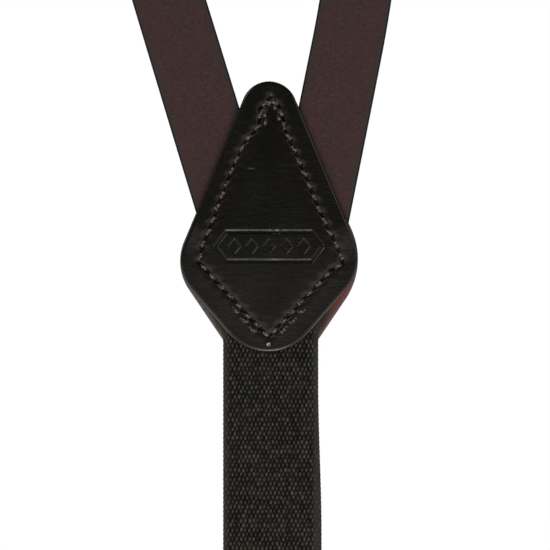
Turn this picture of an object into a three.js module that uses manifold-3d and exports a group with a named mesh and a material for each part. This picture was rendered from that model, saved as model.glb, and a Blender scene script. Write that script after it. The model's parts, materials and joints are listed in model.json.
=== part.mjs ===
// Y-back suspenders: two leather shoulder straps and one elastic back strap, sewn together at a
// kite-shaped leather yoke. Each lower end carries a brass clip, and each front strap an adjuster.
//
// The part hangs as it is worn. Millimetres, +Z up, the wearer faces +Y, and -X is the wearer's left.
// The origin is midway between the tops of the two straps, where they lie on the shoulders.
import * as THREE from "three";
import { mergeVertices } from "three/addons/utils/BufferGeometryUtils.js";
import Module from "manifold-3d";

// ---------------------------------------------------------------------------------- dimensions
const GAP = 0.3; // clearance between touching pieces
const ARC_SEGMENTS = 8; // divisions of a curve, doubled on an arc

// Leather and webbing
const STRAP_WIDTH = 25.4;
const STRAP_THICKNESS = 2.2;
const ELASTIC_WIDTH = 35;
const ELASTIC_THICKNESS = 1.8;
const PATCH_THICKNESS = 2.2;
const LINING_THICKNESS = 1.8;
const TAB_THICKNESS = 2;
const THREAD_WIDTH = 0.8;
const THREAD_HEIGHT = 0.4;

// The line that a strap follows over the body, as seen from the side: up the back, over the
// shoulder in three arcs and down the chest. Angles in degrees.
const BACK_RISE = 130; // straight run above the yoke's centre
const SHOULDER_ARCS = [
  { radius: 260, angle: 35 },
  { radius: 62, angle: 100 },
  { radius: 230, angle: 45 },
];
const TOP_ANGLE = 90; // a strap runs level where it has turned through this angle
const STATION_ANGLE = 6; // most that a strap turns from one of its sections to the next
const STRAIGHT_STATIONS = { back: 4, chest: 2 };

// How far each strap's centre line is from the middle at the yoke's centre, and how fast it moves
// outwards per millimetre of line, at stations along the line. It changes evenly between stations.
const STRAPS = {
  left: { sign: -1, start: 12.9, spread: [[0, 0.304], [189, 0.304], [578, 0]] },
  right: { sign: 1, start: 15.5, spread: [[0, 0.2], [60, 0.2], [79, 0.158], [279, 0.33], [578, 0]] },
};

// Heights on the front, and on the back below the yoke's centre
const CHEST_SPLIT_Z = -300; // below this the strap shortens when the adjuster rises
const ADJUSTER_Z = -400;
const CLIP_BAR_Z = -490;
const ELASTIC_TOP = -6;
const ELASTIC_LENGTH = 166;

// Clip, measured from its bar: outwards from the body, and down
const BAR_RADIUS = 1.1;
const SHEET = 1.2;
const CLIP_LENGTH = 50;
const CLIP_POST = 2;
const CLIP_SIDE_CLEARANCE = 0.5;
const CLIP_CORNER = 5;
const PLATE_TOP_CORNER = 0.8;
const PAD_THICKNESS = 0.9;
const PAD_LENGTH = 18;
const PAD_INSET = 2;
const PAD_CORNER = 2;
const JAW_REACH = 5;
const JAW_GAP = 0.5;
const PIVOT_DROP = 38;
const EAR_HEIGHT = 20;

// Levers, shared by clips and adjusters
const PIN_RADIUS = 1.2;
const PIN_HEAD = { radius: 1.8, height: 0.7 };
const BARREL_RADIUS = 2.6;
const BARREL_SPLIT = 115; // degrees either side of outwards where the barrel turns into the jaw's tip
const TIP_HALF = 0.5; // half the height of the jaw's tip
const EAR_RADIUS = 1.9;
const COVER_OFFSET = 2.8;
const COVER_FOOT = { drop: 1, corner: 0.8 };
const TOOTH = { width: 1.2, pitch: 3, depth: 1, height: 4 };
const CLIP_COVER = { length: 24, drop: 5.4, corner: 9 };
const ADJUSTER_COVER = { length: 22, drop: 2, corner: 5 };

// Adjuster, measured from its centre
const ADJUSTER_REACH = 3.2;
const ADJUSTER_PIVOT_RISE = 9;
const REAR_BAR = { radius: 1, drop: 5 };
const RAIL_THICKNESS = 1.4;
const ANVIL = { depth: 2.2, height: 4 };
const END_LENGTH = 14; // the doubled strap end below the rear bar
const END_TAPER = 5.6; // how far below the bar the strap's two layers meet
const RIVET = { radius: 1.5, headRadius: 3.4, headHeight: 0.8, chamfer: 0.8, drop: 10 };
const RAIL_CORNER = 1.5;

// ------------------------------------------------------------------------------------- materials
const material = (color, roughness, metalness = 0) =>
  new THREE.MeshStandardMaterial({ color, roughness, metalness });
const STRAP_LEATHER = material(0x402f2e, 0.5);
const PATCH_LEATHER = material(0x1b1814, 0.3);
const LINING_LEATHER = material(0x5a352a, 0.7);
const ELASTIC_WEAVE = material(0x282622, 0.95);
const THREAD = material(0x5d4238, 0.8);
const BRASS = material(0xa8854a, 0.35, 1);
const NYLON = material(0x18181a, 0.5);

const radians = THREE.MathUtils.degToRad;

// --------------------------------------------------------------------------------- solid helpers
const wasm = await Module();
wasm.setup();

// A closed three.js geometry as a manifold solid; a solid stays as it is.
function solidOf(geometry) {
  if (geometry instanceof wasm.Manifold) return geometry;
  const bare = geometry.clone();
  bare.deleteAttribute("normal");
  bare.deleteAttribute("uv");
  const merged = mergeVertices(bare, 1e-4);
  return new wasm.Manifold(
    new wasm.Mesh({
      numProp: 3,
      vertProperties: merged.attributes.position.array,
      triVerts: new Uint32Array(merged.index.array),
    }),
  );
}

function geometryOf(solid) {
  const mesh = solid.getMesh();
  const geometry = new THREE.BufferGeometry();
  geometry.setAttribute("position", new THREE.BufferAttribute(mesh.vertProperties, 3));
  geometry.setIndex(new THREE.BufferAttribute(mesh.triVerts, 1));
  geometry.computeVertexNormals();
  return geometry;
}

function join(...pieces) {
  return pieces.map(solidOf).reduce((a, b) => a.add(b));
}

function cut(piece, ...tools) {
  return tools.map(solidOf).reduce((a, b) => a.subtract(b), solidOf(piece));
}

function overlapOf(a, b) {
  return solidOf(a).intersect(solidOf(b));
}

const ACROSS = new THREE.Vector3(1, 0, 0);
const OUT = new THREE.Vector3(0, 1, 0);
const UP = new THREE.Vector3(0, 0, 1);

// Extrudes an outline drawn in (depth, height) by `width` along X, centred on x = 0.
function alongWidth(shape, width) {
  const geometry = extrude(shape, width);
  geometry.translate(0, 0, -width / 2);
  return geometry.applyMatrix4(new THREE.Matrix4().makeBasis(OUT, UP, ACROSS));
}

// Extrudes an outline drawn in (x, height) from depth `from` to depth `to`.
function alongDepth(shape, from, to) {
  const geometry = extrude(shape, to - from);
  geometry.applyMatrix4(new THREE.Matrix4().makeBasis(ACROSS, UP, OUT.clone().negate()));
  return geometry.translate(0, to, 0);
}

function extrude(shape, depth) {
  return new THREE.ExtrudeGeometry(shape, { depth, bevelEnabled: false, curveSegments: ARC_SEGMENTS });
}

function box(x0, x1, y0, y1, z0, z1) {
  const geometry = new THREE.BoxGeometry(x1 - x0, y1 - y0, z1 - z0);
  return geometry.translate((x0 + x1) / 2, (y0 + y1) / 2, (z0 + z1) / 2);
}

// A round bar along X.
function bar(radius, length, y = 0, z = 0) {
  const geometry = new THREE.CylinderGeometry(radius, radius, length, 4 * ARC_SEGMENTS);
  return geometry.rotateZ(Math.PI / 2).translate(0, y, z);
}

// A closed outline from corners [x, y, radius], each rounded by a tangent arc.
function roundedOutline(corners) {
  const shape = new THREE.Shape();
  corners.forEach(([x, y, radius], i) => {
    const corner = new THREE.Vector2(x, y);
    const before = new THREE.Vector2(...corners.at(i - 1).slice(0, 2)).sub(corner).normalize();
    const after = new THREE.Vector2(...corners[(i + 1) % corners.length].slice(0, 2)).sub(corner).normalize();
    const half = Math.acos(before.dot(after)) / 2;
    const middle = before.clone().add(after).normalize();
    const centre = corner.clone().addScaledVector(middle, radius / Math.sin(half));
    const first = corner.clone().addScaledVector(before, radius / Math.tan(half));
    const last = corner.clone().addScaledVector(after, radius / Math.tan(half));
    const clockwise = before.cross(after) > 0;
    const angleTo = (point) => Math.atan2(point.y - centre.y, point.x - centre.x);
    if (i === 0) shape.moveTo(first.x, first.y);
    else shape.lineTo(first.x, first.y);
    shape.absarc(centre.x, centre.y, radius, angleTo(first), angleTo(last), clockwise);
  });
  shape.closePath();
  return shape;
}

function rectangle(halfWidth, bottom, top, bottomRadius, topRadius = bottomRadius) {
  return roundedOutline([
    [-halfWidth, bottom, bottomRadius],
    [halfWidth, bottom, bottomRadius],
    [halfWidth, top, topRadius],
    [-halfWidth, top, topRadius],
  ]);
}

// A round hole; its last point isn't repeated.
function circle(x, y, radius) {
  const count = 4 * ARC_SEGMENTS;
  const angles = Array.from({ length: count }, (_, i) => (-2 * Math.PI * i) / count);
  return new THREE.Path(
    angles.map((angle) => new THREE.Vector2(x + radius * Math.cos(angle), y + radius * Math.sin(angle))),
  );
}

// ------------------------------------------------------------------- the line over the shoulder
// The line's pieces in order, each with the place, direction and length it starts from. `turn` is
// the angle from straight up the back; the outward side is away from the body.
const arcs = SHOULDER_ARCS.map(({ radius, angle }) => ({ radius, turn: radians(angle) }));
const top = topOfLine();
const BACK_Y = -top.y;
const YOKE_Z = -top.z;
const LINE_LENGTH = BACK_RISE + arcs.reduce((sum, arc) => sum + arc.radius * arc.turn, 0);

// How far the highest point of the line is from the yoke's centre.
function topOfLine() {
  let [y, z, turned] = [0, BACK_RISE, 0];
  for (const arc of arcs) {
    const next = Math.min(turned + arc.turn, radians(TOP_ANGLE));
    y += arc.radius * (Math.cos(turned) - Math.cos(next));
    z += arc.radius * (Math.sin(next) - Math.sin(turned));
    turned = next;
    if (turned >= radians(TOP_ANGLE)) break;
  }
  return { y, z };
}

// The place on the line at `length` from the yoke's centre, `out` away from the body.
function onLine(length, out) {
  let [y, z, turned] = [BACK_Y, YOKE_Z, 0];
  let rest = length;
  const straight = Math.min(rest, BACK_RISE);
  z += straight;
  rest -= straight;
  for (const arc of arcs) {
    if (rest <= 0) break;
    const next = turned + Math.min(rest / arc.radius, arc.turn);
    y += arc.radius * (Math.cos(turned) - Math.cos(next));
    z += arc.radius * (Math.sin(next) - Math.sin(turned));
    rest -= arc.radius * (next - turned);
    turned = next;
  }
  if (length > LINE_LENGTH) z -= length - LINE_LENGTH;
  return { y: y - out * Math.cos(turned), z: z + out * Math.sin(turned) };
}

// How far a strap is from the middle, and its slant, at `length` along the line.
function strapCentre({ start, spread }, length) {
  let x = start;
  let slant = spread[0][1];
  for (let i = 1; i < spread.length && length > spread[i - 1][0]; i++) {
    const [[from, before], [to, after]] = [spread[i - 1], spread[i]];
    const reach = Math.min(length, to);
    slant = THREE.MathUtils.mapLinear(reach, from, to, before, after);
    x += ((before + slant) / 2) * (reach - from);
  }
  return { x, slant };
}

const CHEST_Y = onLine(LINE_LENGTH, 0).y;

// --------------------------------------------------------------------------------------- straps
// The stations at which a strap's section is placed: evenly spaced on each stretch of the line.
function lineStations(end) {
  const stations = [];
  const stretches = [[0, BACK_RISE, STRAIGHT_STATIONS.back]];
  let from = BACK_RISE;
  for (const arc of arcs) {
    const to = from + arc.radius * arc.turn;
    stretches.push([from, to, Math.ceil(arc.turn / radians(STATION_ANGLE))]);
    from = to;
  }
  stretches.push([from, end, STRAIGHT_STATIONS.chest]);
  for (const [a, b, count] of stretches)
    for (let i = 0; i < count; i++) stations.push(a + ((b - a) * i) / count);
  stations.push(end);
  return stations;
}

// A flat band of the strap's section along the line, from the yoke to `end`.
function upperStrap(side) {
  const strap = STRAPS[side];
  const end = LINE_LENGTH + onLine(LINE_LENGTH, 0).z - CHEST_SPLIT_Z;
  const stations = lineStations(end);
  const positions = [];
  for (const length of stations) {
    const { x, slant } = strapCentre(strap, length);
    const heading = Math.atan(slant);
    for (const [across, out] of [[-1, -1], [1, -1], [1, 1], [-1, 1]]) {
      const aside = (across * STRAP_WIDTH) / 2;
      const place = onLine(length - aside * Math.sin(heading), (out * STRAP_THICKNESS) / 2);
      positions.push(strap.sign * (x + aside * Math.cos(heading)), place.y, place.z);
    }
  }
  const faces = [0, 2, 1, 0, 3, 2];
  for (let ring = 0; ring < stations.length - 1; ring++)
    for (let corner = 0; corner < 4; corner++) {
      const a = 4 * ring + corner;
      const b = 4 * ring + ((corner + 1) % 4);
      faces.push(a, b, b + 4, a, b + 4, a + 4);
    }
  const last = 4 * (stations.length - 1);
  faces.push(last, last + 1, last + 2, last, last + 2, last + 3);
  if (strap.sign > 0) faces.reverse();
  const geometry = new THREE.BufferGeometry();
  geometry.setAttribute("position", new THREE.Float32BufferAttribute(positions, 3));
  geometry.setIndex(faces);
  return geometry;
}

const FRONT_OUT = CHEST_Y + STRAP_THICKNESS / 2; // outer face of the strap on the chest
const FOLD_RADIUS = BAR_RADIUS + GAP + STRAP_THICKNESS / 2;
const CLIP_BAR_Y = CHEST_Y - FOLD_RADIUS;
const RETURN_Y = CHEST_Y - 2 * FOLD_RADIUS;

function limb(y, bottom, top) {
  const half = STRAP_THICKNESS / 2;
  return box(-STRAP_WIDTH / 2, STRAP_WIDTH / 2, y - half, y + half, bottom, top);
}

// The U of strap that passes under the clip's bar.
function strapFold() {
  const shape = new THREE.Shape();
  shape.absarc(0, 0, FOLD_RADIUS + STRAP_THICKNESS / 2, Math.PI, 2 * Math.PI, false);
  shape.absarc(0, 0, FOLD_RADIUS - STRAP_THICKNESS / 2, 2 * Math.PI, Math.PI, true);
  return alongWidth(shape, STRAP_WIDTH);
}

// The strap's end, turned over the adjuster's rear bar and riveted to itself. The bar is at (0, 0).
function strapEnd() {
  const inner = REAR_BAR.radius + GAP;
  const outer = inner + STRAP_THICKNESS;
  const back = outer - 2 * STRAP_THICKNESS;
  const shape = new THREE.Shape();
  shape.moveTo(outer, -END_LENGTH);
  shape.lineTo(outer, 0);
  shape.absarc(0, 0, outer, 0, Math.PI, false);
  shape.lineTo(back, -END_TAPER);
  shape.lineTo(back, -END_LENGTH);
  shape.holes.push(circle(0, 0, inner));
  const hole = new THREE.CylinderGeometry(RIVET.radius + GAP, RIVET.radius + GAP, 4 * outer, 4 * ARC_SEGMENTS);
  return cut(alongWidth(shape, STRAP_WIDTH), hole.translate(0, 0, -RIVET.drop));
}

// A rivet along Y through a doubled strap whose faces are at y = back and y = front.
function rivet(back, front) {
  const reach = RIVET.headHeight + GAP;
  const profile = [
    [0, back - reach],
    [RIVET.headRadius - RIVET.chamfer, back - reach],
    [RIVET.headRadius, back - GAP],
    [RIVET.radius, back - GAP],
    [RIVET.radius, front + GAP],
    [RIVET.headRadius, front + GAP],
    [RIVET.headRadius - RIVET.chamfer, front + reach],
    [0, front + reach],
  ];
  return lathe(profile);
}

// A turned piece around Y from [radius, y] points, listed from its lower end up.
function lathe(profile) {
  return new THREE.LatheGeometry(profile.map(([r, y]) => new THREE.Vector2(r, y)), 4 * ARC_SEGMENTS);
}

// ----------------------------------------------------------------------------------------- yoke
const PATCH_CORNERS = { top: 66.2, side: [35, -17.3], bottom: -59.6, radii: [10.8, 17, 18.6] };
const LINING_CORNERS = { top: 64.6, side: [35.1, -18], bottom: -70.2, radii: [10.8, 17, 19] };
const STITCH_CORNERS = { top: 41.5, side: [26, -16.2], bottom: -44, radii: [1.5, 2.5, 2.5] };
const SMALLEST_RADIUS = 0.6;

function kite({ top, side: [x, y], bottom, radii: [topRadius, sideRadius, bottomRadius] }) {
  return roundedOutline([
    [0, top, topRadius],
    [-x, y, sideRadius],
    [0, bottom, bottomRadius],
    [x, y, sideRadius],
  ]);
}

// The kite moved inwards by `inset`, its corners kept sharp enough to stay round.
function insetKite({ top, side: [x, y], bottom, radii }, inset) {
  const upper = Math.hypot(x, top - y) / x;
  const lower = Math.hypot(x, y - bottom) / x;
  const share = (inset * (upper + lower)) / (top - bottom);
  return kite({
    top: top - inset * upper,
    side: [x * (1 - share), y - inset * upper + (top - y) * share],
    bottom: bottom + inset * lower,
    radii: radii.map((radius) => Math.max(radius - inset, SMALLEST_RADIUS)),
  });
}

// Places an outline of the yoke as a plate whose faces are `near` and `far` outside the line.
function yokePlate(shape, near, far) {
  return alongDepth(shape, -far, -near).translate(0, BACK_Y, YOKE_Z);
}

const LAYER = STRAP_THICKNESS / 2 + GAP; // from the middle of the strap to the patch or the lining
const PATCH_OUT = LAYER + PATCH_THICKNESS;

function threadRing(outline, inner, near) {
  outline.holes.push(new THREE.Path(inner.getPoints(ARC_SEGMENTS).reverse()));
  return yokePlate(outline, near, near + THREAD_HEIGHT);
}

// -------------------------------------------------------------------------------- back strap end
const TAB_HALF = ELASTIC_THICKNESS / 2 + GAP + TAB_THICKNESS;
const TAB_TOP = 35; // above the clip's bar
const TAB_THREAD = { halfWidth: 14.5, bottom: 9, top: 31, corner: 1.5 };

// A leather tab folded round the elastic's end and round the clip's bar, which is at (0, 0).
function backTab() {
  const slot = ELASTIC_THICKNESS / 2 + GAP;
  const elasticEnd = YOKE_Z + ELASTIC_TOP - ELASTIC_LENGTH - CLIP_BAR_Z;
  const shape = new THREE.Shape();
  shape.moveTo(TAB_HALF, 0);
  shape.lineTo(TAB_HALF, TAB_TOP);
  shape.lineTo(slot, TAB_TOP);
  shape.lineTo(slot, elasticEnd - GAP);
  shape.lineTo(-slot, elasticEnd - GAP);
  shape.lineTo(-slot, TAB_TOP);
  shape.lineTo(-TAB_HALF, TAB_TOP);
  shape.lineTo(-TAB_HALF, 0);
  shape.absarc(0, 0, TAB_HALF, Math.PI, 2 * Math.PI, false);
  shape.holes.push(circle(0, 0, BAR_RADIUS + GAP));
  return alongWidth(shape, ELASTIC_WIDTH);
}

// ----------------------------------------------------------------------------------------- lever
// A lever round a pin at (0, 0): a barrel inside the ears, a toothed jaw tip that points at the
// body, and a curved cover outside that reaches up.
function lever({ width, barrelWidth, reach, cover }) {
  const barrel = new THREE.Shape();
  const split = radians(BARREL_SPLIT);
  barrel.absarc(0, 0, BARREL_RADIUS, -split, split, false);
  barrel.lineTo(-reach, TIP_HALF);
  barrel.lineTo(-reach, -TIP_HALF);
  barrel.closePath();
  barrel.holes.push(circle(0, 0, PIN_RADIUS + GAP));

  const radius = (cover.length ** 2 + cover.drop ** 2) / (2 * cover.drop);
  const sweep = Math.asin(cover.length / radius);
  const section = new THREE.Shape();
  section.absarc(COVER_OFFSET - radius, 0, radius + SHEET / 2, 0, sweep, false);
  section.absarc(COVER_OFFSET - radius, 0, radius - SHEET / 2, sweep, 0, true);
  section.closePath();
  const front = rectangle(width / 2, -COVER_FOOT.drop, cover.length, COVER_FOOT.corner, cover.corner);
  const plate = overlapOf(alongWidth(section, width), alongDepth(front, -2 * reach, 2 * reach));

  const teeth = [];
  const count = Math.floor((barrelWidth / 2 - TOOTH.width) / TOOTH.pitch); // on each side of the middle one
  for (let i = -count; i <= count; i++) {
    const x = i * TOOTH.pitch;
    const [left, right] = [x - TOOTH.width / 2, x + TOOTH.width / 2];
    teeth.push(box(left, right, -2 * reach, TOOTH.depth - reach, -TOOTH.height / 2, TOOTH.height / 2));
  }
  return cut(join(alongWidth(barrel, barrelWidth), plate), ...teeth);
}

// The pin through both ears, with a head outside each.
function pin(width) {
  const end = width / 2 + GAP;
  const tip = end + PIN_HEAD.height;
  const profile = [
    [0, -tip],
    [PIN_HEAD.radius, -tip],
    [PIN_HEAD.radius, -end],
    [PIN_RADIUS, -end],
    [PIN_RADIUS, end],
    [PIN_HEAD.radius, end],
    [PIN_HEAD.radius, tip],
    [0, tip],
  ];
  return lathe(profile).rotateZ(Math.PI / 2);
}

// ------------------------------------------------------------------------------------------ clip
const clipInnerWidth = (strapWidth) => strapWidth + 2 * CLIP_SIDE_CLEARANCE;
const clipWidth = (strapWidth) => clipInnerWidth(strapWidth) + 2 * CLIP_POST;
const PAD_FRONT = SHEET / 2 + GAP + PAD_THICKNESS;
const PIVOT_OUT = PAD_FRONT + JAW_GAP + JAW_REACH;
const WINDOW_DROP = FOLD_RADIUS + STRAP_THICKNESS / 2 + 2 * GAP;

// A sheet plate hung on a bar at (0, 0), with an ear on each side that holds the lever's pin.
function clipPlate(strapWidth) {
  const half = clipWidth(strapWidth) / 2;
  const inner = clipInnerWidth(strapWidth) / 2;
  const sheet = alongDepth(
    rectangle(half, -CLIP_LENGTH, BAR_RADIUS, CLIP_CORNER, PLATE_TOP_CORNER),
    -SHEET / 2,
    SHEET / 2,
  );
  const window = box(-inner, inner, -SHEET, SHEET, -WINDOW_DROP, 2 * BAR_RADIUS);
  const ear = new THREE.Shape();
  ear.moveTo(0, -PIVOT_DROP - EAR_HEIGHT / 2);
  ear.lineTo(PIVOT_OUT, -PIVOT_DROP - EAR_RADIUS);
  ear.absarc(PIVOT_OUT, -PIVOT_DROP, EAR_RADIUS, -Math.PI / 2, Math.PI / 2, false);
  ear.lineTo(0, EAR_HEIGHT / 2 - PIVOT_DROP);
  ear.closePath();
  ear.holes.push(circle(PIVOT_OUT, -PIVOT_DROP, PIN_RADIUS + GAP));
  const ears = [-1, 1].map((side) => alongWidth(ear, SHEET).translate(side * (half - SHEET / 2), 0, 0));
  return join(cut(sheet, window), bar(BAR_RADIUS, 2 * half), ...ears);
}

// A thin nylon pad on the plate, behind the jaw.
function clipPad(strapWidth) {
  const half = clipWidth(strapWidth) / 2 - SHEET - PAD_INSET;
  const bottom = PAD_INSET - CLIP_LENGTH;
  const shape = rectangle(half, bottom, bottom + PAD_LENGTH, PAD_CORNER);
  return alongDepth(shape, SHEET / 2 + GAP, PAD_FRONT);
}

function clipLever(strapWidth) {
  const width = clipWidth(strapWidth);
  const barrelWidth = width - 2 * (SHEET + GAP);
  return lever({ width, barrelWidth, reach: JAW_REACH, cover: CLIP_COVER });
}

// -------------------------------------------------------------------------------------- adjuster
const RAIL_INNER = STRAP_WIDTH / 2 + GAP;
const ADJUSTER_WIDTH = 2 * (RAIL_INNER + RAIL_THICKNESS);
const REAR_BAR_Y = RETURN_Y + STRAP_THICKNESS / 2 - (REAR_BAR.radius + GAP + STRAP_THICKNESS);
const ADJUSTER_PIVOT_Y = FRONT_OUT + GAP + ADJUSTER_REACH;
const ANVIL_Y = CHEST_Y - STRAP_THICKNESS / 2 - GAP - ANVIL.depth / 2;

// Two side rails joined by the rear bar, which the strap's end is turned over, and by the anvil,
// which the lever presses the strap against. Depths are measured in the part's own frame.
function adjusterFrame() {
  const rise = ADJUSTER_PIVOT_RISE;
  const rail = roundedOutline([
    [REAR_BAR_Y - EAR_RADIUS, -REAR_BAR.drop - EAR_RADIUS, RAIL_CORNER],
    [REAR_BAR_Y + EAR_RADIUS, -REAR_BAR.drop - EAR_RADIUS, RAIL_CORNER],
    [ADJUSTER_PIVOT_Y + EAR_RADIUS, rise - EAR_RADIUS, RAIL_CORNER],
    [ADJUSTER_PIVOT_Y + EAR_RADIUS, rise + EAR_RADIUS, RAIL_CORNER],
    [ANVIL_Y - ANVIL.depth, rise + EAR_RADIUS, RAIL_CORNER],
    [REAR_BAR_Y - EAR_RADIUS, EAR_RADIUS - REAR_BAR.drop, RAIL_CORNER],
  ]);
  rail.holes.push(circle(ADJUSTER_PIVOT_Y, rise, PIN_RADIUS + GAP));
  const rails = [-1, 1].map((side) => {
    const x = side * (RAIL_INNER + RAIL_THICKNESS / 2);
    return alongWidth(rail, RAIL_THICKNESS).translate(x, 0, 0);
  });
  const reach = ADJUSTER_WIDTH / 2;
  const anvil = box(
    -reach,
    reach,
    ANVIL_Y - ANVIL.depth / 2,
    ANVIL_Y + ANVIL.depth / 2,
    rise - ANVIL.height / 2,
    rise + ANVIL.height / 2,
  );
  return join(...rails, anvil, bar(REAR_BAR.radius, 2 * reach, REAR_BAR_Y, -REAR_BAR.drop));
}

function adjusterLever() {
  const barrelWidth = 2 * (RAIL_INNER - GAP);
  const made = lever({ width: ADJUSTER_WIDTH, barrelWidth, reach: ADJUSTER_REACH, cover: ADJUSTER_COVER });
  return geometryOf(made).rotateY(Math.PI); // its cover hangs down
}

// -------------------------------------------------------------------------------------- assembly
const suspenders = new THREE.Group();
suspenders.name = "suspenders";

function add(name, shape, look, parent = suspenders, position = [0, 0, 0]) {
  const geometry = shape instanceof wasm.Manifold ? geometryOf(shape) : shape;
  const mesh = new THREE.Mesh(geometry, look);
  mesh.name = name;
  mesh.position.set(...position);
  parent.add(mesh);
  return mesh;
}

// A clip whose bar is at the group's origin, its lever outwards.
function addClip(name, strapWidth, parent) {
  const pivot = [0, PIVOT_OUT, -PIVOT_DROP];
  add("clip_plate_" + name, clipPlate(strapWidth), BRASS, parent);
  add("clip_pad_" + name, clipPad(strapWidth), NYLON, parent);
  add("clip_pin_" + name, pin(clipWidth(strapWidth)), BRASS, parent, pivot);
  add("clip_lever_" + name, clipLever(strapWidth), BRASS, parent, pivot);
}

function addAdjuster(name, parent) {
  const pivot = [0, ADJUSTER_PIVOT_Y, ADJUSTER_PIVOT_RISE];
  add("adjuster_frame_" + name, adjusterFrame(), BRASS, parent);
  add("adjuster_pin_" + name, pin(ADJUSTER_WIDTH), BRASS, parent, pivot);
  add("adjuster_lever_" + name, adjusterLever(), BRASS, parent, pivot);
  const rearBar = [0, REAR_BAR_Y, -REAR_BAR.drop];
  add("strap_end_" + name, strapEnd(), STRAP_LEATHER, parent, rearBar);
  const endFront = REAR_BAR.radius + GAP + STRAP_THICKNESS;
  const rivetShape = rivet(endFront - 2 * STRAP_THICKNESS, endFront);
  const rivetPlace = [0, REAR_BAR_Y, -REAR_BAR.drop - RIVET.drop];
  add("strap_rivet_" + name, rivetShape, BRASS, parent, rivetPlace);
}

function addFront(name) {
  const strap = STRAPS[name];
  add("strap_" + name, upperStrap(name), STRAP_LEATHER);
  const front = new THREE.Group();
  front.position.x = strap.sign * strapCentre(strap, LINE_LENGTH).x;
  suspenders.add(front);
  const endBottom = ADJUSTER_Z - REAR_BAR.drop - END_LENGTH;
  add("strap_front_" + name, limb(CHEST_Y, CLIP_BAR_Z + GAP, CHEST_SPLIT_Z - GAP), STRAP_LEATHER, front);
  add("strap_return_" + name, limb(RETURN_Y, CLIP_BAR_Z + GAP, endBottom - GAP), STRAP_LEATHER, front);
  add("strap_fold_" + name, strapFold(), STRAP_LEATHER, front, [0, CLIP_BAR_Y, CLIP_BAR_Z]);
  const adjuster = new THREE.Group();
  adjuster.position.z = ADJUSTER_Z;
  front.add(adjuster);
  addAdjuster(name, adjuster);
  const clip = new THREE.Group();
  clip.position.set(0, CLIP_BAR_Y, CLIP_BAR_Z);
  front.add(clip);
  addClip(name, STRAP_WIDTH, clip);
}

function addYoke() {
  add("patch_front", yokePlate(kite(PATCH_CORNERS), LAYER, PATCH_OUT), PATCH_LEATHER);
  add("patch_lining", yokePlate(kite(LINING_CORNERS), -LAYER - LINING_THICKNESS, -LAYER), LINING_LEATHER);
  const inner = insetKite(STITCH_CORNERS, THREAD_WIDTH);
  add("patch_thread", threadRing(kite(STITCH_CORNERS), inner, PATCH_OUT + GAP), THREAD);
}

function addBack() {
  const half = ELASTIC_THICKNESS / 2;
  const elasticTop = YOKE_Z + ELASTIC_TOP;
  const elastic = box(
    -ELASTIC_WIDTH / 2,
    ELASTIC_WIDTH / 2,
    BACK_Y - half,
    BACK_Y + half,
    elasticTop - ELASTIC_LENGTH,
    elasticTop,
  );
  add("elastic_strap", elastic, ELASTIC_WEAVE);
  const end = new THREE.Group();
  end.position.set(0, BACK_Y, CLIP_BAR_Z);
  end.rotation.z = Math.PI; // the clip's outward side faces -Y here
  suspenders.add(end);
  add("back_tab", backTab(), PATCH_LEATHER, end);
  const { halfWidth, bottom, top, corner } = TAB_THREAD;
  const ring = rectangle(halfWidth, bottom, top, corner);
  const [low, high] = [bottom + THREAD_WIDTH, top - THREAD_WIDTH];
  const hole = rectangle(halfWidth - THREAD_WIDTH, low, high, SMALLEST_RADIUS);
  ring.holes.push(new THREE.Path(hole.getPoints(ARC_SEGMENTS).reverse()));
  const near = TAB_HALF + GAP;
  add("back_tab_thread", alongDepth(ring, near, near + THREAD_HEIGHT), THREAD, end);
  addClip("back", ELASTIC_WIDTH, end);
}

addYoke();
addBack();
for (const name of Object.keys(STRAPS)) addFront(name);

export default suspenders;
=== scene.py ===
"""Y-back leather suspenders, hung as they are worn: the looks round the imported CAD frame.

Shapes are worked out in millimetres and stored in metres. The wearer faces +Y, +Z is up, and "out"
is the distance away from the wearer's body, measured from the middle of the straps' thickness.
"""

import json
import math

import bpy
import numpy as np
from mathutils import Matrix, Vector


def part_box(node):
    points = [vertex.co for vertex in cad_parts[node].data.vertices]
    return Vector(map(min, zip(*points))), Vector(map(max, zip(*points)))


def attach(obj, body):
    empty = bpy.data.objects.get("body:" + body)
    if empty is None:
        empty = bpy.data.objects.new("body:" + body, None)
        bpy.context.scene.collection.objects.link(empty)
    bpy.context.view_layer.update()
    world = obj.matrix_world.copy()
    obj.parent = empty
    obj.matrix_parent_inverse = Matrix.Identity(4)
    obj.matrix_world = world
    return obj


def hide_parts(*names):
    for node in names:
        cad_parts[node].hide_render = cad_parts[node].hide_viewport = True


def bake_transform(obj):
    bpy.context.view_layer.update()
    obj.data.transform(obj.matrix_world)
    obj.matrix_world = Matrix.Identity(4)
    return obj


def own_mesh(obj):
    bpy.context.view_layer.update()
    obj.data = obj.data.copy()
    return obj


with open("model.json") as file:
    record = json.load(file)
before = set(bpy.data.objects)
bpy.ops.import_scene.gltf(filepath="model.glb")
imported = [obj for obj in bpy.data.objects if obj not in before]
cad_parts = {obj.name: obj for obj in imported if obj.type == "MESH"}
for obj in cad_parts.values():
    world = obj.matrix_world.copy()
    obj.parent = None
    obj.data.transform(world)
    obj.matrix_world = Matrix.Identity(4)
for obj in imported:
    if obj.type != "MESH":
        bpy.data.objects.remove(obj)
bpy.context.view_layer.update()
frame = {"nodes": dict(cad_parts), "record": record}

MM = 0.001
SIDES = {"left": -1, "right": 1}
rng = np.random.default_rng(7)


def node_box(node):
    low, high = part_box(node)
    return np.array(low) / MM, np.array(high) / MM


# ------------------------------------------------------------------------------ places from the frame
elastic_low, elastic_high = node_box("elastic_strap")
limb_low, limb_high = node_box("strap_front_left")
fold_low, fold_high = node_box("strap_fold_left")
tab_low, tab_high = node_box("back_tab")

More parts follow.
